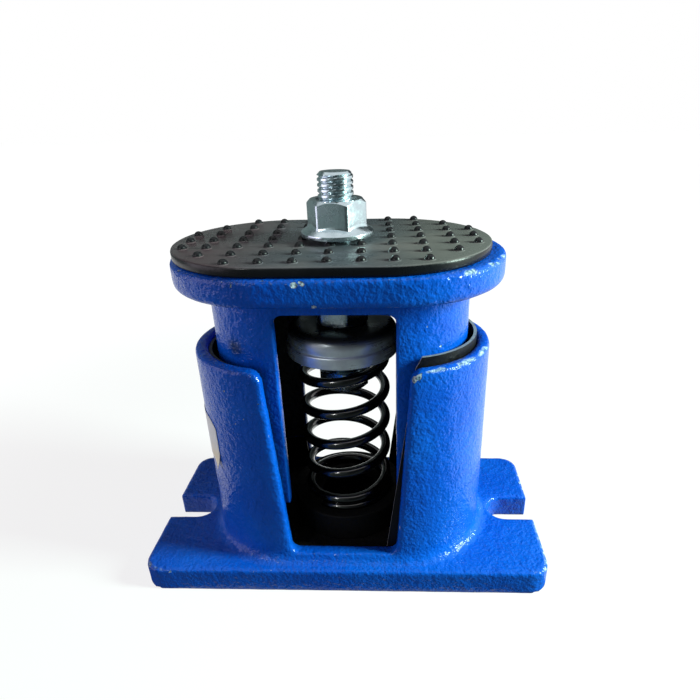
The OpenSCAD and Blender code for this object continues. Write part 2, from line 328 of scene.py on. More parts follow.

# place in mm and radius of each chip, from the flange and the bell down to the foot; the two on the
# bell's right are painted glints, and the row along the foot's right end is partly painted glints
chips_and_glints = [
    ((-9.6, -37.5, 121.6), 1.2), ((-7.4, -37.5, 122.0), 0.9), ((-28.5, -36.5, 121.5), 0.6),
    ((-4.5, -37.2, 114.5), 1.0), ((26.9, -36.5, 113.6), 0.6), ((30.2, -23.7, 103.3), 0.4),
    ((34.5, -21.4, 95.3), 0.5), ((25.2, -32.2, 88.4), 1.6), ((27.4, -31.8, 88.7), 1.1),
    ((-38.1, -27.9, 81.9), 0.5), ((-35.2, -29.4, 69.8), 0.5), ((-32.1, -30.6, 72.6), 0.4),
    ((-26.3, -31.9, 78.8), 0.4), ((-66.4, -37.5, 8.9), 0.6), ((-34.3, -37.3, 9.6), 0.5),
    ((75.8, -34.6, 9.6), 0.9), ((77.2, -31.0, 9.5), 0.7), ((77.3, -26.5, 9.6), 0.8),
    ((77.3, -23.8, 9.5), 0.6), ((77.3, -18.5, 9.6), 0.7), ((77.2, -13.0, 9.7), 0.5),
    ((77.2, 13.5, 9.6), 0.7), ((77.2, 17.5, 9.7), 0.8), ((77.2, 23.0, 9.7), 0.7),
]
bare_and_glint = 0.0
for place_mm, radius in chips_and_glints:
    # the noise's mean is a half, so the pattern is shifted by half its reach
    shifted = [value + wander_reach / 2 for value in place_mm]
    bare_and_glint = paint.larger(bare_and_glint, paint.step(paint.near(shifted, ragged), radius, radius - 0.2))

# the stretches of edge that are rubbed most: a place in mm and how far the rubbing reaches; the four
# on the lit right side are partly painted highlights
rubbed_and_lit = [
    ((40, -26, 90), 13), ((52, -13, 90), 8), ((48, -24, 122), 22), ((77, -20, 10), 26), ((-73, -36, 10), 10),
]
rubbing_and_light = 0.0
for place_mm, reach in rubbed_and_lit:
    rubbing_and_light = paint.larger(rubbing_and_light, paint.step(paint.near(place_mm), reach, 0.3 * reach))

patches = paint.cloud(3.2, 4.0)
hold = paint.minus(1.0, paint.times(rubbing_and_light, 0.42))
wear = paint.minus(paint.times(paint.mark("edge"), 1.3), paint.times(patches, 0.6))
worn_and_highlit = paint.times(paint.step(wear, hold, 1.1), paint.step(patches, 0.54, 0.42))
# bare chips and rubbed rims, and on the lit right side painted glints and highlights as well
paint_gone_and_highlit = paint.larger(bare_and_glint, worn_and_highlit)
print("chips:", len(chips_and_glints), "rubbed stretches:", len(rubbed_and_lit))

# %% [markdown]
# ## Blue paint over a rough casting
# The paint is a thick gloss coat that follows the sand's grain and pulls into an orange-peel skin. A noise
# of about a millimetre makes that skin, and a coarser one the lumps under it. The gloss could come from the
# paint's own reflection, but that greys a deep blue, so the paint reflects little and a thin clear coat
# over it gives the sharp glints. Bare spots and the painted glints on lit edges are pale, dull metal, the
# hollows take a painted shade, and one smear of oil darkens the bell.

# %% Paint
oil_place, oil_reach = (-33.2, -20.5, 96.1), 4.8
oil = paint.step(paint.near(oil_place, ragged), oil_reach, 0.8)
drift = paint.step(paint.cloud(28, 3.0), 0.3, 0.7)
blue = paint.mix(drift, (0.001, 0.074, 0.51), (0.002, 0.104, 0.59))
blue = paint.mix(paint.times(oil, 0.75), blue, (0.006, 0.020, 0.035))
# pale metal for bare spots, also the colour of the painted glints and highlights
pale_metal_and_glint = paint.mix(paint.step(paint.cloud(0.8, 3.0), 0.35, 0.65), (0.08, 0.17, 0.26), (0.56, 0.68, 0.77))
hollow = paint.mark("inside")
# painted shade: a near black with a faint noise for the hollows of the castings
hollow_shade = paint.mix(paint.cloud(5, 4.0), (0.003, 0.003, 0.003), (0.012, 0.010, 0.009))
paint.drive("Base Color", paint.mix(hollow, paint.mix(paint_gone_and_highlit, blue, pale_metal_and_glint), hollow_shade))
dull = paint.larger(paint_gone_and_highlit, paint.times(hollow, 1.4))
paint.drive("Roughness", paint.step(dull, 0, 1.4, 0.26, 0.8))
peel = paint.plus(paint.times(paint.cloud(1.15, 1.5), 0.5), paint.times(paint.cloud(3.4, 2.0), 0.7))
paint.bump(paint.minus(peel, paint.times(paint_gone_and_highlit, 0.35)), 0.75)
paint.put_on(lower_casting, upper_casting)

# %% [markdown]
# ## Small tools for meshes
# The other pieces are turned, swept or rolled, so their surface is a grid of points: rows along one
# direction and columns along the other. Modifiers could sweep some of them, but a grid gives every piece
# the same simple form. One helper turns such a grid into faces, one makes a ring of points, and one makes
# the piece itself and lets it ride on its body of the frame.

# %% Mesh helpers
def grid_faces(rows, columns, close_rows=False, close_columns=True, start=0):
    """Quads between neighbouring rows and columns of a grid of points."""
    faces = []
    for r in range(rows if close_rows else rows - 1):
        for c in range(columns if close_columns else columns - 1):
            r2, c2 = (r + 1) % rows, (c + 1) % columns
            faces.append([start + i * columns + j for i, j in ((r, c), (r, c2), (r2, c2), (r2, c))])
    return faces


def full_turn(count):
    """Angles once round, in even steps."""
    return np.linspace(0, 2 * math.pi, count, endpoint=False)


def level_ring(radius, angles, z):
    """Points at one height, round the axis of the bolt."""
    return np.stack([radius * np.cos(angles), radius * np.sin(angles), np.full(len(angles), z)], 1)


def add_piece(name, points_mm, faces, body=None, sharp_deg=40):
    """A smooth-shaded mesh, made in millimetres, that rides on a body of the frame if one is named."""
    mesh = bpy.data.meshes.new(name)
    mesh.from_pydata((np.asarray(points_mm, float).reshape(-1, 3) * MM).tolist(), [], faces)
    mesh.validate()
    mesh.shade_smooth()
    mesh.set_sharp_from_angle(angle=math.radians(sharp_deg))
    piece = bpy.data.objects.new(name, mesh)
    bpy.context.scene.collection.objects.link(piece)
    if body:
        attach(piece, body)
    return piece


print("mesh helpers ready")

# %% [markdown]
# ## The sheet of the pad
# The pad is moulded from rubber: a thick sheet with straight sides and half-round ends, and a hole for the
# bolt. A cube with a bevel would give the wrong plan. Instead, rings of points run from the hole, under the
# sheet, round its soft outer edge and back to the hole.

# %% Pad sheet
pad_corners = [np.array(corner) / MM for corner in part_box("top_pad")]
pad_length, pad_width = (pad_corners[1] - pad_corners[0])[:2]
pad_run = (pad_length - pad_width) / 2
pad_middle = (pad_corners[0][0] + pad_corners[1][0]) / 2
dome_radius = 1.6
pad_low, pad_high = pad_corners[0][2], pad_corners[1][2] - dome_radius
pad_hole_r = 6.5
pad_columns = 160
pad_angle = full_turn(pad_columns) + math.pi / pad_columns


def pad_ring(inset, z):
    """Points round the pad's plan, drawn in from its edge by the inset."""
    ring = level_ring(pad_width / 2 - inset, pad_angle, z)
    ring[:, 0] += np.where(np.cos(pad_angle) > 0, pad_run, -pad_run)
    ring[:, 0] += pad_middle
    return ring


soft_edge = [(0.6, 0), (0.2, 0.2), (0, 0.7)]  # inset, and height above or below the sheet's face
pad_rings = [level_ring(pad_hole_r, pad_angle, z) for z in (pad_high, pad_low)]
pad_rings += [pad_ring(inset, pad_low + height) for inset, height in soft_edge]
pad_rings += [pad_ring(inset, pad_high - height) for inset, height in reversed(soft_edge)]
pad_points = np.concatenate(pad_rings)
pad_faces = grid_faces(len(pad_rings), pad_columns, close_rows=True)
print("pad", round(pad_length, 1), "x", round(pad_width, 1), "mm, sheet", round(pad_high - pad_low, 1), "mm")

# %% [markdown]
# ## The domes of the pad
# Half-round domes grip the machine's foot. They stand in rows, a little turned against the pad, and are
# left out near its edge and under the nut. A boolean of dozens of spheres would leave messy faces. Each
# dome is a small cap of its own, with a foot that flares into the sheet, all in one mesh.

# %% Domes
dome_pitch = 10.2
end_column = 5
end_column_x = 48.8  # the last column stands closer than the pitch
dome_turn = math.radians(2.6)
edge_room, nut_room = 2.4, 8.1  # least distance to the pad's edge and to the bolt's axis
dome_sides = 20
dome_angle = full_turn(dome_sides)
dome_outline = [(1.9, -0.02), (1.66, 0.12)]  # the flared foot
dome_outline += [(dome_radius * math.cos(a), dome_radius * math.sin(a)) for a in np.linspace(0.42, 1.45, 6)]
dome_count = 0
for column in range(-end_column, end_column + 1):
    along = math.copysign(end_column_x, column) if abs(column) == end_column else column * dome_pitch
    for row in range(-3, 4):
        across = row * dome_pitch
        x = along * math.cos(dome_turn) - across * math.sin(dome_turn)
        y = along * math.sin(dome_turn) + across * math.cos(dome_turn)
        to_edge = pad_width / 2 - math.hypot(max(abs(x) - pad_run, 0), y)
        x += pad_middle
        if to_edge < edge_room or math.hypot(x, y) < nut_room:
            continue
        dome_rings = [level_ring(r, dome_angle, pad_high + z) + (x, y, 0) for r, z in dome_outline]
        pad_faces += grid_faces(len(dome_rings), dome_sides, start=len(pad_points))
        pad_points = np.concatenate([pad_points, *dome_rings, [[x, y, pad_high + dome_radius]]])
        top = len(pad_points) - 1
        last_ring = top - dome_sides
        pad_faces += [[last_ring + i, last_ring + (i + 1) % dome_sides, top] for i in range(dome_sides)]
        dome_count += 1
pad = add_piece("domed_pad", pad_points, pad_faces, "top", 50)
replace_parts(pad, "top_pad")
print("domes:", dome_count)
report(pad)

# %% [markdown]
# ## Dusty rubber with a painted sheen
# The pad is satin black rubber. Dust and a painted sheen grey the flat sheet, while handling keeps the domes
# and the cut edge black. Two materials could share the pad, but then the border would be hard. So the height
# above the sheet decides where the grey lies, a slow noise makes it uneven, and its tint changes along the
# pad, with a painted sheen that makes the right end lighter, where the window lamp falls.

# %% Pad rubber
pad_rubber = Finish("pad_rubber")
dust = pad_rubber.step(pad_rubber.cloud(22, 4.0), 0.45, 0.75)
grain = pad_rubber.cloud(1.4, 3.0)
pad_z = pad_rubber.axis("Z")
above_edge = pad_rubber.step(pad_z, (pad_high - 0.5) * MM, (pad_high - 0.1) * MM)
below_domes = pad_rubber.step(pad_z, (pad_high + 0.3) * MM, (pad_high + 0.05) * MM)
flat_top = pad_rubber.times(above_edge, below_domes)
pad_x = pad_rubber.axis("X")
# dust grey that also carries a painted sheen
pad_dust_and_sheen = pad_rubber.mix(dust, (0.070, 0.081, 0.098), (0.130, 0.119, 0.126))
pad_dust_and_sheen = pad_rubber.mix(pad_rubber.step(pad_x, -0.005, -0.045), pad_dust_and_sheen, (0.116, 0.078, 0.088))
# painted sheen: the right end of the pad lighter, where the window lamp falls
pad_dust_and_sheen = pad_rubber.mix(pad_rubber.step(pad_x, 0.005, 0.035, 0, 0.7), pad_dust_and_sheen, (0.150, 0.139, 0.128))
pad_rubber.drive("Base Color", pad_rubber.mix(flat_top, (0.004, 0.005, 0.007), pad_dust_and_sheen))
pad_rubber.drive("Specular IOR Level", pad_rubber.step(flat_top, 0, 1, 0.25, 0.5))
uneven = pad_rubber.plus(dust, pad_rubber.times(grain, 0.4))
pad_rubber.drive("Roughness", pad_rubber.step(uneven, 0, 1.3, 0.26, 0.42))
pad_rubber.bump(pad_rubber.plus(grain, pad_rubber.times(pad_rubber.cloud(9, 2.0), 1.5)), 0.06)
pad_rubber.put_on(pad)

# %% [markdown]
# ## The coil spring
# A spring is wound from round wire, with both ends closed so that it stands straight. Blender's screw
# modifier has one pitch only, so the wire's middle line is written as a formula: a slow rise in the end
# turns, a steep one between. A circle is then carried along it, and the coil rides on the base.

# %% Wind the spring
wire_d = 3.8
coil_d = 31.4  # between the middles of the wire
free_length = 73.8
turns = 6.95
closed_turns = 1.1  # at each end
ease = 0.1  # share of a turn in which the pitch changes
first_angle = math.radians(234)
seat_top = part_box("spring")[0].z / MM
close_pitch = 1.03 * wire_d
spread = (free_length - wire_d - close_pitch * turns) / (turns - 2 * closed_turns - ease)


def eased(turns_past):
    """Turns past a change of pitch, with a soft start."""
    if turns_past < 0:
        return 0
    return turns_past * turns_past / (2 * ease) if turns_past < ease else turns_past - ease / 2


def wire_rise(turn):
    """Height of the wire's middle above that of its first point."""
    open_turns = eased(turn - closed_turns) - eased(turn - turns + closed_turns + ease)
    return close_pitch * turn + spread * open_turns


wire_sides, wire_rings = 20, 640
wire_points = []
for i in range(wire_rings + 1):
    turn = turns * i / wire_rings
    angle = first_angle + 2 * math.pi * turn
    for j in range(wire_sides):
        b = 2 * math.pi * j / wire_sides + math.pi / 2
        r = coil_d / 2 + wire_d / 2 * math.cos(b)
        z = seat_top + wire_d / 2 + wire_rise(turn) + wire_d / 2 * math.sin(b)
        wire_points.append((r * math.cos(angle), r * math.sin(angle), z))
wire_faces = grid_faces(wire_rings + 1, wire_sides)
wire_faces += [list(range(wire_sides))[::-1], [wire_rings * wire_sides + j for j in range(wire_sides)]]
spring = add_piece("coil_spring", wire_points, wire_faces, "base", 50)
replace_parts(spring, "spring")
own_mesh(spring)
report(spring)

# %% [markdown]
# ## The spring's coating
# Springs are dipped or powder coated against rust, here in gloss black. A plain black would look like a
# hole in the picture. A clear coat over a nearly black ground gives the long highlights on each turn, and
# fine speckles and a slow wave keep them from being perfect.

# %% Spring coating
spring_black = Finish("black_coating", Coat_Weight=0.6, Coat_Roughness=0.08)
speckle = spring_black.cloud(1.2, 3.0)
spring_black.drive("Base Color", spring_black.mix(speckle, (0.0015, 0.0015, 0.002), (0.004, 0.004, 0.005)))
spring_black.drive("Roughness", spring_black.step(speckle, 0.3, 0.7, 0.14, 0.24))
spring_black.bump(spring_black.cloud(3.5, 2.0), 0.03)
spring_black.put_on(spring)

# %% [markdown]
# ## The cap on the spring
# The cap is a cup pressed from sheet steel, with a rolled band and a fine groove at its skirt. It is a
# turned shape, so an outline of radius and height is spun round the bolt. The screw modifier can spin it
# too, but the grid keeps the faces in known rows. Sharp corners of the outline are softened first, because
# no real edge is knife sharp and a rounded one catches the light.

# %% Pressed cap
corner_steps = 4


def soften(outline, radius):
    """The closed outline with each corner replaced by a small curve."""
    points = [np.array(p, float) for p in outline]
    soft = []
    for before, corner, after in zip(points[-1:] + points[:-1], points, points[1:] + points[:1]):
        back, ahead = before - corner, after - corner
        reach = min(radius, 0.45 * np.linalg.norm(back), 0.45 * np.linalg.norm(ahead))
        a = corner + back / np.linalg.norm(back) * reach
        b = corner + ahead / np.linalg.norm(ahead) * reach
        for t in np.linspace(0, 1, corner_steps + 1):
            soft.append((1 - t) ** 2 * a + 2 * t * (1 - t) * corner + t * t * b)
    return soft


def arc(middle_r, middle_z, radius, first, last, count):
    """Points of an outline along an arc, between two angles in radians."""
    return [(middle_r + radius * math.cos(a), middle_z + radius * math.sin(a))
            for a in np.linspace(first, last, count)]


def turned(name, outline, body, segments=144):
    rows = [level_ring(r, full_turn(segments), z) for r, z in outline]
    return add_piece(name, rows, grid_faces(len(rows), segments, close_rows=True), body, 60)


cap_low, cap_high = (corner.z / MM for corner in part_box("spring_cap"))
band_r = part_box("spring_cap")[1].x / MM
skirt_r = band_r - 0.5
sheet = 2.2  # thickness of the pressed steel
cup_r = skirt_r - sheet
inner_bend, shoulder = 1.4, 3.6
cap_hole_r = 6.75
band_top = cap_low + 4
band = soften([(cup_r, cap_low), (band_r, cap_low), (band_r, band_top), (skirt_r, band_top + 0.5)], 0.35)
band = band[:-(corner_steps + 1)]  # the groove takes the place of the last corner
cap_outline = arc(cup_r - inner_bend, cap_high - sheet - inner_bend, inner_bend, math.pi / 2, 0, 7)
cap_outline += [(cup_r, cap_low + 1.5)] + band
cap_outline += [(skirt_r, band_top + 0.4), (skirt_r - 0.25, band_top + 0.65), (skirt_r, band_top + 1.0)]
cap_outline += arc(skirt_r - shoulder, cap_high - shoulder, shoulder, 0, math.pi / 2, 9)
cap_outline += [(cap_hole_r + 0.2, cap_high), (cap_hole_r, cap_high - 0.2), (cap_hole_r, cap_high - sheet)]
cap = turned("pressed_cap", cap_outline, "top")
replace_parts(cap, "spring_cap")
report(cap)

# %% [markdown]
# ## The seat under the spring
# A moulded rubber ring keeps the spring from ringing against the iron, and a recess in it keeps the spring
# in the middle. It is turned like the cap. Its rubber lies in deep shade, so a nearly black, matt finish
# with a little unevenness is enough.

# %% Spring seat
seat_low, seat_high = (corner.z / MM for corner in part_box("spring_seat"))
seat_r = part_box("spring_seat")[1].x / MM
seat_hole_r, recess_r = 11.3, 18.2
seat_outline = [(seat_hole_r, seat_low), (seat_r, seat_low), (seat_r, seat_high), (recess_r, seat_high),
                (recess_r, seat_top), (seat_hole_r, seat_top)]
seat = turned("spring_seat_ring", soften(seat_outline, 0.7), "base")
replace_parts(seat, "spring_seat")
report(seat)

seat_rubber = Finish("seat_rubber", Specular_IOR_Level=0.15)
seat_cloud = seat_rubber.cloud(6, 4.0)
seat_rubber.drive("Base Color", seat_rubber.mix(seat_cloud, (0.001, 0.001, 0.001), (0.004, 0.004, 0.004)))
seat_rubber.drive("Roughness", seat_rubber.step(seat_rubber.cloud(2, 2.0), 0.2, 0.8, 0.5, 0.8))
seat_rubber.bump(seat_rubber.cloud(0.8, 3.0), 0.08)
seat_rubber.put_on(seat)

# %% [markdown]
# ## Steel of the cap
# The cap's plating is dull, fine rings run round its skirt, and a painted shade darkens the shoulder under
# the bell.
# Brushed steel could use an anisotropic shader. Here a noise that changes with height only draws the rings,
# which shows the same and stays simple. A partly metallic shader gives the greyness of old plating.

# %% Cap steel
cap_steel = Finish("cap_steel", Metallic=0.55)
cap_z = cap_steel.axis("Z")
ring_noise = cap_steel.node("TexNoise", noise_dimensions="1D")
cap_steel.tree.links.new(cap_z, ring_noise.inputs["W"])
ring_noise.inputs["Scale"].default_value = 1 / (0.25 * MM)
brushed = ring_noise.outputs["Fac"]
stain = cap_steel.step(cap_steel.cloud(8, 4.0), 0.35, 0.7)
# painted shade: the cap darkens towards its top, under the bell
shoulder_shade = cap_steel.step(cap_z, (cap_high - 4.2) * MM, (cap_high - 0.6) * MM)
cap_plate = cap_steel.mix(stain, (0.86, 0.96, 1.0), (0.64, 0.71, 0.76))
cap_steel.drive("Base Color", cap_steel.mix(shoulder_shade, cap_plate, (0.05, 0.06, 0.06)))
cap_steel.drive("Roughness", cap_steel.step(cap_steel.plus(brushed, stain), 0.2, 1.8, 0.24, 0.42))
cap_steel.bump(brushed, 0.012)
cap_steel.put_on(cap)

# %% [markdown]
# ## Hexagons and the levelling nut
# Real nuts are cut from hexagon bar and then turned, so a cone takes off the corners and leaves the arcs
# that everyone knows. A bevelled prism has no such arcs. Around the axis each direction meets the hexagon at
# its own radius and the cone at its own height, so a column of points per direction gives them exactly. The
# levelling nut is the same at both ends: its half outline is used twice.

# %% Levelling nut
flat_r = 18.0 / 2  # half of the width across the flats
corner_power = 36  # a higher power gives sharper corners
cone_inset, cone_deg = 0.3, 40
hex_columns = 180
hex_angle = full_turn(hex_columns)


def hex_radius(angle, hex_turn):
    """Radius of a hexagon with lightly rounded corners."""
    to_flats = [angle - hex_turn - math.pi / 6 - k * math.pi / 3 for k in range(6)]
    powers = [max(math.cos(a), 0) ** corner_power for a in to_flats]
    return flat_r * sum(powers) ** (-1 / corner_power)


def cone_drop(radius):
    """How far the turned cone lies below the end face at a radius."""
    return max(radius - flat_r + cone_inset, 0) * math.tan(math.radians(cone_deg))


def hex_rows(hex_turn, outline_of):
    """Rows of points; outline_of gives the outline for one radius of the hexagon."""
    columns = [outline_of(hex_radius(angle, hex_turn)) for angle in hex_angle]
    return [[(r * math.cos(a), r * math.sin(a), z) for (r, z), a in zip(row, hex_angle)]
            for row in zip(*columns)]


def hex_nut(name, hex_turn, outline_of):
    rows = hex_rows(hex_turn, outline_of)
    return add_piece(name, rows, grid_faces(len(rows), hex_columns, close_rows=True), "top", 24)


nut_bore_r = 6.1
levelling_turn = math.radians(45)
nut_low, nut_high = (corner.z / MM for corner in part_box("levelling_nut"))


def levelling_outline(r):
    half = [(nut_bore_r, 0.7), (nut_bore_r + 0.7, 0), (flat_r - 0.25, 0), (flat_r - 0.1, 0.03),
            (r - 0.04, cone_drop(r) - 0.02), (r, cone_drop(r) + 0.06)]
    upper = [(at, nut_high - depth) for at, depth in half]
    lower = [(at, nut_low + depth) for at, depth in reversed(half)]
    return upper + lower


levelling_nut = hex_nut("levelling_hex_nut", levelling_turn, levelling_outline)
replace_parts(levelling_nut, "levelling_nut")
report(levelling_nut)

# %% [markdown]
# ## The flange nut
# The nut on top has a collar that spreads its load over the machine's foot. It is forged in one piece, so
# the hexagon runs into the sloping collar with a small hollow. Joining a disc and a nut would leave a hard
# line there. The outline simply goes on: down the hexagon, through the hollow, along the slope and round
# the collar's rim.

# %% Flange nut
collar_low, collar_high = (corner.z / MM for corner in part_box("flange_nut"))
collar_r, collar_t, collar_slope = 12.5, 1.5, 2.0
rim_top = collar_low + collar_t
nut_turn = math.radians(55)


def collar_z(radius):
    """Height of the collar's sloping face."""
    return rim_top + collar_slope * (collar_r - radius) / (collar_r - flat_r)


def flange_outline(r):
    cone_z = collar_high - cone_drop(r)
    end_face = [(nut_bore_r, collar_high - 0.8), (nut_bore_r + 0.8, collar_high),
                (flat_r - 0.25, collar_high), (flat_r - 0.1, collar_high - 0.03)]
    chamfer = [(r - 0.22, cone_z + 0.12), (r - 0.06, cone_z - 0.1), (r, cone_z - 0.4)]
    hollow_line = [(r, collar_z(r) + 0.8), (r + 0.08, collar_z(r) + 0.4),
                   (r + 0.35, collar_z(r + 0.35) + 0.05), (r + 0.7, collar_z(r + 0.7))]
    rim_line = [(collar_r - 0.35, collar_z(collar_r - 0.35)), (collar_r - 0.08, rim_top - 0.1),
                (collar_r, rim_top - 0.45), (collar_r, collar_low + 0.3), (collar_r - 0.1, collar_low + 0.07),
                (collar_r - 0.35, collar_low)]
    underside = [(nut_bore_r + 0.7, collar_low), (nut_bore_r, collar_low + 0.7)]
    return end_face + chamfer + hollow_line + rim_line + underside


flange_nut = hex_nut("flange_hex_nut", nut_turn, flange_outline)
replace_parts(flange_nut, "flange_nut")
report(flange_nut)

# %% [markdown]
# ## The threaded bolt
# The bolt hangs head down through the cap, and its end is the stud for the machine's foot. A thread could be
# a texture, but its teeth show against the light at the stud's sides. So it is a grid: the radius falls
# and rises once per pitch, and the start of each turn slides round with the angle. The tip is turned to a
# cone, and the head is one more hexagon.

# %% Threaded bolt
bolt_low, bolt_high = (corner.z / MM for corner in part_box("hex_bolt"))
head_high = bolt_low + 7.5
head_turn = math.radians(36)
pinhole_r = 0.6  # the head's grid stays open along its axis, out of sight
thread_r, thread_pitch, thread_depth = 6.0, 1.75, 0.6
tip_chamfer = 1.0
crest_start, flank = 0.05, 0.22  # shares of the pitch
row_rise = 0.125
thread_columns = 72
thread_angle = full_turn(thread_columns)
thread_rows = []
for z in np.linspace(head_high - 0.5, bolt_high, int((bolt_high - head_high) / row_rise)):
    phase = (z / thread_pitch - thread_angle / (2 * math.pi)) % 1
    crest = np.clip((np.abs(phase - 0.5) - crest_start) / flank, 0, 1)
    r = np.minimum(thread_r - thread_depth * (1 - crest), thread_r - tip_chamfer + (bolt_high - z))
    thread_rows.append(level_ring(r, thread_angle, z))
bolt_points = np.concatenate(thread_rows)
bolt_faces = grid_faces(len(thread_rows), thread_columns)
bolt_faces.append([len(bolt_points) - thread_columns + i for i in range(thread_columns)])


def head_outline(r):
    cone_z = bolt_low + cone_drop(r)
    return [(pinhole_r, head_high), (r, head_high), (r, cone_z + 0.06), (r - 0.04, cone_z - 0.02),
            (flat_r - 0.1, bolt_low + 0.03), (flat_r - 0.3, bolt_low), (pinhole_r, bolt_low)]


head_rows = hex_rows(head_turn, head_outline)
bolt_faces += grid_faces(len(head_rows), hex_columns, close_rows=True, start=len(bolt_points))
bolt_points = np.concatenate([bolt_points, np.array(head_rows).reshape(-1, 3)])
bolt = add_piece("threaded_bolt", bolt_points, bolt_faces, "top", 28)
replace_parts(bolt, "hex_bolt")
report(bolt)

# %% [markdown]
# ## Bright zinc
# Zinc plating is a thin, slightly bluish mirror that is never quite even: tumbling in the plating drum
# leaves faint marks, and the bath leaves soft stains. One even metal would look like chrome, so the colour
# and the roughness both wander.

# %% Zinc
zinc = Finish("bright_zinc", Metallic=1.0)
bath = zinc.step(zinc.cloud(5, 4.0), 0.3, 0.75)
marks = zinc.cloud(0.9, 4.0)
zinc.drive("Base Color", zinc.mix(bath, (0.58, 0.69, 0.74), (0.46, 0.55, 0.60)))
zinc.drive("Roughness", zinc.step(zinc.plus(marks, bath), 0.3, 1.6, 0.15, 0.32))
zinc.bump(zinc.plus(marks, zinc.times(zinc.cloud(3.5, 2.0), 1.5)), 0.03)
zinc.put_on(flange_nut, levelling_nut, bolt)

# %% [markdown]
# ## The rubber liners
# Two strips of rubber sheet stand between the castings so that iron never rubs on iron. Each follows the
# round end of the housing's wall, its front and rear edges lean like the windows, and its top corners are
# cut off. The left one is set back behind the edge of its window, and the right one is trimmed a little at
# the top. A solidify modifier on a single sheet would do too. A sheet is just as easy as a grid: columns
# along the wall, rows up it, once for each face, and the two faces are joined round the rim.

# %% Liner sheets
liner_r, liner_t = 27.4, 1.1  # outer face at the round end, and thickness
liner_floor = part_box("liner_left")[0].z / MM
rim_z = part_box("lower_housing")[1].z / MM
corner_cut = 4  # height of the cut corners
liner_rows, liner_columns = 44, 120


def sheet_faces(rows, columns):
    """Faces of a thin sheet: the outer grid, the inner one, and last the rim between them."""
    count = rows * columns
    faces = grid_faces(rows, columns, close_columns=False)
    faces += [[i + count for i in quad][::-1] for quad in faces]
    rim = list(range(columns)) + [r * columns + columns - 1 for r in range(1, rows)]
    rim += [(rows - 1) * columns + c for c in range(columns - 2, -1, -1)]
    rim += [r * columns for r in range(rows - 2, 0, -1)]
    faces += [[b, a, a + count, b + count] for a, b in zip(rim, rim[1:] + rim[:1])]
    return faces, len(rim)


def liner_row(radius, lean):
    """Places in plan from the front edge, round the end of the wall, to the rear edge."""
    straight = wall_run - lean
    end_length = math.pi * liner_r
    skipped = max(-straight, 0) / radius  # where the edge already lies on the round end
    round_length = end_length if straight > 0 else 2 * straight + end_length
    row = []
    for share in np.linspace(0, 1, liner_columns):
        d = share * (2 * straight + end_length)
        if 0 < straight and d < straight:
            row.append((lean + d, -radius))
        elif 0 < straight and d > straight + end_length:
            row.append((wall_run - (d - straight - end_length), radius))
        else:
            way = (d - max(straight, 0)) / round_length
            a = -math.pi / 2 + skipped + (math.pi - 2 * skipped) * way
            row.append((wall_run + radius * math.cos(a), radius * math.sin(a)))
    return row


def liner_sheet(name, side, node, edge_low, edge_high, trim):
    """One liner; its edges lean from edge_low at the floor to edge_high at the rim."""
    top_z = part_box(node)[1].z / MM - trim
    points = []
    for radius in (liner_r, liner_r - liner_t):
        for z in np.linspace(liner_floor, top_z, liner_rows):
            way_up = min((z - liner_floor + 1) / (rim_z - liner_floor + 1), 1)
            lean = edge_low + (edge_high - edge_low) * way_up
            lean += max(z - top_z + corner_cut, 0) * 0.5
            points += [(side * x, y, z) for x, y in liner_row(radius, lean)]
    faces, rim_count = sheet_faces(liner_rows, liner_columns)
    if side < 0:
        faces = [quad[::-1] for quad in faces]
    piece = add_piece(name, points, faces, "base", 40)
    cut = np.zeros(len(faces), np.float32)
    cut[-rim_count:] = 1
    piece.data.attributes.new("cut", "FLOAT", "FACE").data.foreach_set("value", cut)
    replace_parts(piece, node)
    report(piece)
    return piece


left_sheet = liner_sheet("left_liner_sheet", -1, "liner_left", 20.6, 26.5, 0)
right_sheet = liner_sheet("right_liner_sheet", 1, "liner_right", 16, 26.5, 1.0)

# %% [markdown]
# ## Rubber of the liners
# The sheet is plain black rubber, and its cut edge is painted paler as a painted highlight, since its top
# catches the light. The rim's faces carry a value of their own, so that one finish can do both. The right
# liner stands above the rim, where the window lamp reaches its edge most, so its painted highlight is
# strongest.

# %% Liner rubber
liner_rubber = Finish("liner_rubber", Specular_IOR_Level=0.25)
# painted highlight: a paler, uneven cut edge, strongest on the right liner
highlight_patches = liner_rubber.step(liner_rubber.cloud(3, 3.0), 0.2, 0.6, 0.5, 1.0)
lit_right_side = liner_rubber.step(liner_rubber.axis("X"), -0.02, 0.02, 0.25, 1.0)
cut_edge_highlight = liner_rubber.times(liner_rubber.times(liner_rubber.mark("cut"), highlight_patches), lit_right_side)
liner_rubber.drive("Base Color", liner_rubber.mix(cut_edge_highlight, (0.0025, 0.0025, 0.003), (0.25, 0.26, 0.27)))
liner_rubber.drive("Roughness", liner_rubber.step(liner_rubber.cloud(1.5, 3.0), 0.3, 0.7, 0.35, 0.55))
liner_rubber.bump(liner_rubber.cloud(0.7, 2.0), 0.05)
liner_rubber.put_on(left_sheet, right_sheet)

# %% [markdown]
# ## A blank sticker
# A plain paper sticker is wrapped round the left end of the housing. A shrinkwrapped plane would pick up
# the casting's lumps. A thin grid on the wall's own radius lies as smooth as paper does. Its upper front
# corner is rounded, and the lower one has come loose and curls outwards.

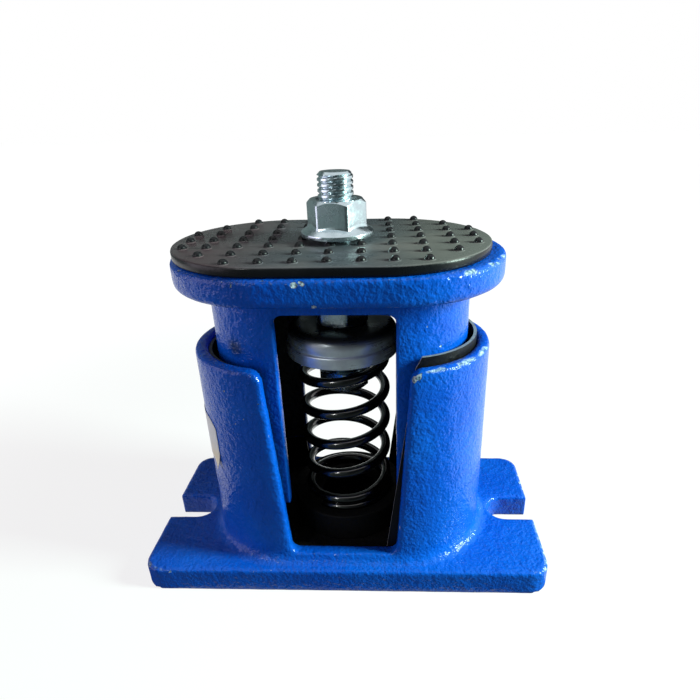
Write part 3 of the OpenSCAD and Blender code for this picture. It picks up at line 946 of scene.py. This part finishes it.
# %% Sticker
sticker_r, sticker_t = 32.28, 0.12
sticker_low, sticker_high = 47.5, 66.5
front_deg, rear_deg = -44, 50  # round the end of the wall, from its middle
round_from, round_height, round_deg = 62.5, 4, 9  # the rounded upper corner
loose_height, loose_angle = 6, 7 / 32  # mm and radians of the loose corner
curl, droop = 1.6, 0.8
sticker_rows, sticker_columns = 24, 60
outer, inner = [], []
for z in np.linspace(sticker_low, sticker_high, sticker_rows):
    front = math.radians(front_deg + round_deg * max(0, (z - round_from) / round_height) ** 2)
    for a in np.linspace(front, math.radians(rear_deg), sticker_columns):
        loose = max(0, 1 - ((z - sticker_low) / loose_height + (a - front) / loose_angle))
        lift = curl * loose ** 2
        for face, r in ((outer, sticker_r + sticker_t + lift), (inner, sticker_r + lift)):
            face.append((-wall_run - r * math.cos(a), r * math.sin(a), z - droop * loose ** 2))
sticker_faces = [quad[::-1] for quad in sheet_faces(sticker_rows, sticker_columns)[0]]
sticker = add_piece("blank_sticker", outer + inner, sticker_faces, "base", sharp_deg=50)
report(sticker)

# %% [markdown]
# ## Paper of the sticker
# The paper is a cool white that has yellowed where glue and dirt got under the loose corner. A stain map
# could be drawn, but the distance to that corner, roughened by noise, gives it with a few nodes.

# %% Sticker paper
paper = Finish("sticker_paper", Roughness=0.55)
loose_corner = (-47.5, -20, 48)
from_corner = paper.plus(paper.near(loose_corner), paper.times(paper.cloud(3, 3.0), 8))
yellowing = paper.step(from_corner, 14, 4)
paper.drive("Base Color", paper.mix(yellowing, (0.80, 0.87, 0.84), (0.86, 0.82, 0.58)))
paper.bump(paper.cloud(1.5, 3.0), 0.03)
paper.put_on(sticker)

# %% [markdown]
# ## The floor
# A plain pale floor keeps the soft shadow that tells the eye where the foot stands. A white floor would
# throw much light back up on the object. So its own colour is a dull grey, and a glow that only the camera,
# mirrors and glass can see makes it pale.

# %% Floor
floor_reach, floor_drop = 3000, 0.05  # mm
floor_plan = [(-1, -1), (1, -1), (1, 1), (-1, 1)]
floor_points = [(x * floor_reach, y * floor_reach, -floor_drop) for x, y in floor_plan]
floor = add_piece("pale_floor", floor_points, [[0, 1, 2, 3]])
floor_paint = Finish("pale_floor", Roughness=0.9, Specular_IOR_Level=0.1)
floor_paint.shader.inputs["Base Color"].default_value = (0.2, 0.2, 0.2, 1)
floor_paint.shader.inputs["Emission Color"].default_value = (1, 1, 1, 1)


def sees_white(tree):
    """1 for rays of the camera, of mirrors and of glass, which see the white surroundings."""
    paths = tree.nodes.new("ShaderNodeLightPath")
    seen = paths.outputs["Is Camera Ray"]
    for output in ("Is Glossy Ray", "Is Transmission Ray"):
        either = tree.nodes.new("ShaderNodeMath")
        either.operation = "MAXIMUM"
        tree.links.new(seen, either.inputs[0])
        tree.links.new(paths.outputs[output], either.inputs[1])
        seen = either.outputs[0]
    return seen


glow = floor_paint.step(floor_paint.near((0, 0, 0)), 150, 450, 0.82, 0.96)
floor_paint.drive("Emission Strength", floor_paint.times(sees_white(floor_paint.tree), glow))
floor_paint.put_on(floor)
print("floor below the foot by", floor_drop, "mm")

# %% [markdown]
# ## Dark cards
# Glossy paint takes the colour of what it mirrors, and white surroundings would turn a deep blue into a
# milky one. Photographers put dark cards round a glossy thing, just out of the picture. These stand in a
# ring, open on the right where the window is, and lie on the floor in front. The floor behind stays bare,
# so that the left side keeps a bright rim. The cards show in mirrors only.

# %% Cards
card_radius, card_height, card_gap = 700, 900, 0.3  # mm
sweep = np.radians(np.linspace(55, 335, 57))
in_front = sweep[sweep > math.radians(182)]
foot_x, foot_y, foot_power = 79, 38.8, 0.25  # the floor card starts close to the foot's rounded plan


def foot_edge(angle):
    x = math.copysign(abs(math.cos(angle)) ** foot_power, math.cos(angle))
    return foot_x * x, -foot_y * abs(math.sin(angle)) ** foot_power, card_gap


standing = [level_ring(card_radius, sweep, z) for z in (card_gap, card_height)]
lying = [[foot_edge(angle) for angle in in_front], level_ring(card_radius, in_front, card_gap)]
card_faces = grid_faces(2, len(sweep), close_columns=False)
card_faces += grid_faces(2, len(in_front), close_columns=False, start=2 * len(sweep))
cards = add_piece("dark_cards", np.concatenate(standing + lying), card_faces)
card_paper = Finish("dark_card", Roughness=0.9, Specular_IOR_Level=0.0)
to_the_left = card_paper.step(card_paper.axis("X"), 0.05, -0.25)
card_paper.drive("Base Color", card_paper.mix(to_the_left, (0.09, 0.09, 0.10), (0.30, 0.32, 0.33)))
card_paper.put_on(cards)
cards.visible_camera = cards.visible_diffuse = cards.visible_shadow = cards.visible_transmission = False
print("cards from", *np.degrees(sweep[[0, -1]]).round(), "degrees round the part")

# %% [markdown]
# ## Lamps
# Lamps model the forms: the main one from the right, as from a window, and a large weak one from the left.
# A third, small one high up in front sets a glint on the wet-looking paint. It would also flatten the
# shading, so it is left out of the soft light and shows in reflections only.

# %% Lamps
lamp_aim = (0, 0, 0.07)


def lamp(name, place, size, watts, colour):
    data = bpy.data.lights.new(name, "AREA")
    data.shape = "RECTANGLE"
    data.size, data.size_y = size
    data.energy = watts
    data.color = colour
    made = bpy.data.objects.new(name, data)
    bpy.context.scene.collection.objects.link(made)
    made.location = place
    made.rotation_euler = (Vector(lamp_aim) - Vector(place)).to_track_quat("-Z", "Y").to_euler()
    print(name, watts, "W")
    return made


lamp("window_right", (0.55, -0.09, 0.31), (0.12, 0.24), 8.2, (0.83, 1.10, 0.96))
lamp("fill_left", (-0.62, -0.20, 0.14), (0.8, 0.5), 2.5, (1.0, 0.86, 1.0))
glint = lamp("glint", (-0.30, -0.42, 0.42), (0.05, 0.05), 0.6, (1, 1, 1))
glint.visible_diffuse = False

# %% [markdown]
# ## The room
# The room is white for what the camera and the mirrors see, and much softer for the light that it gives. A
# white world at full strength would wash out every shadow.

# %% Room
room_light = 0.09
world = bpy.data.worlds.new("white_room")
bpy.context.scene.world = world
world.use_nodes = True
background = world.node_tree.nodes["Background"]
background.inputs["Color"].default_value = (1, 1, 1, 1)
level = world.node_tree.nodes.new("ShaderNodeMapRange")
level.inputs["To Min"].default_value = room_light
level.inputs["To Max"].default_value = 1.0
world.node_tree.links.new(sees_white(world.node_tree), level.inputs["Value"])
world.node_tree.links.new(level.outputs[0], background.inputs["Strength"])
bpy.context.scene.view_settings.view_transform = "Standard"
print("room light for soft surfaces:", room_light)
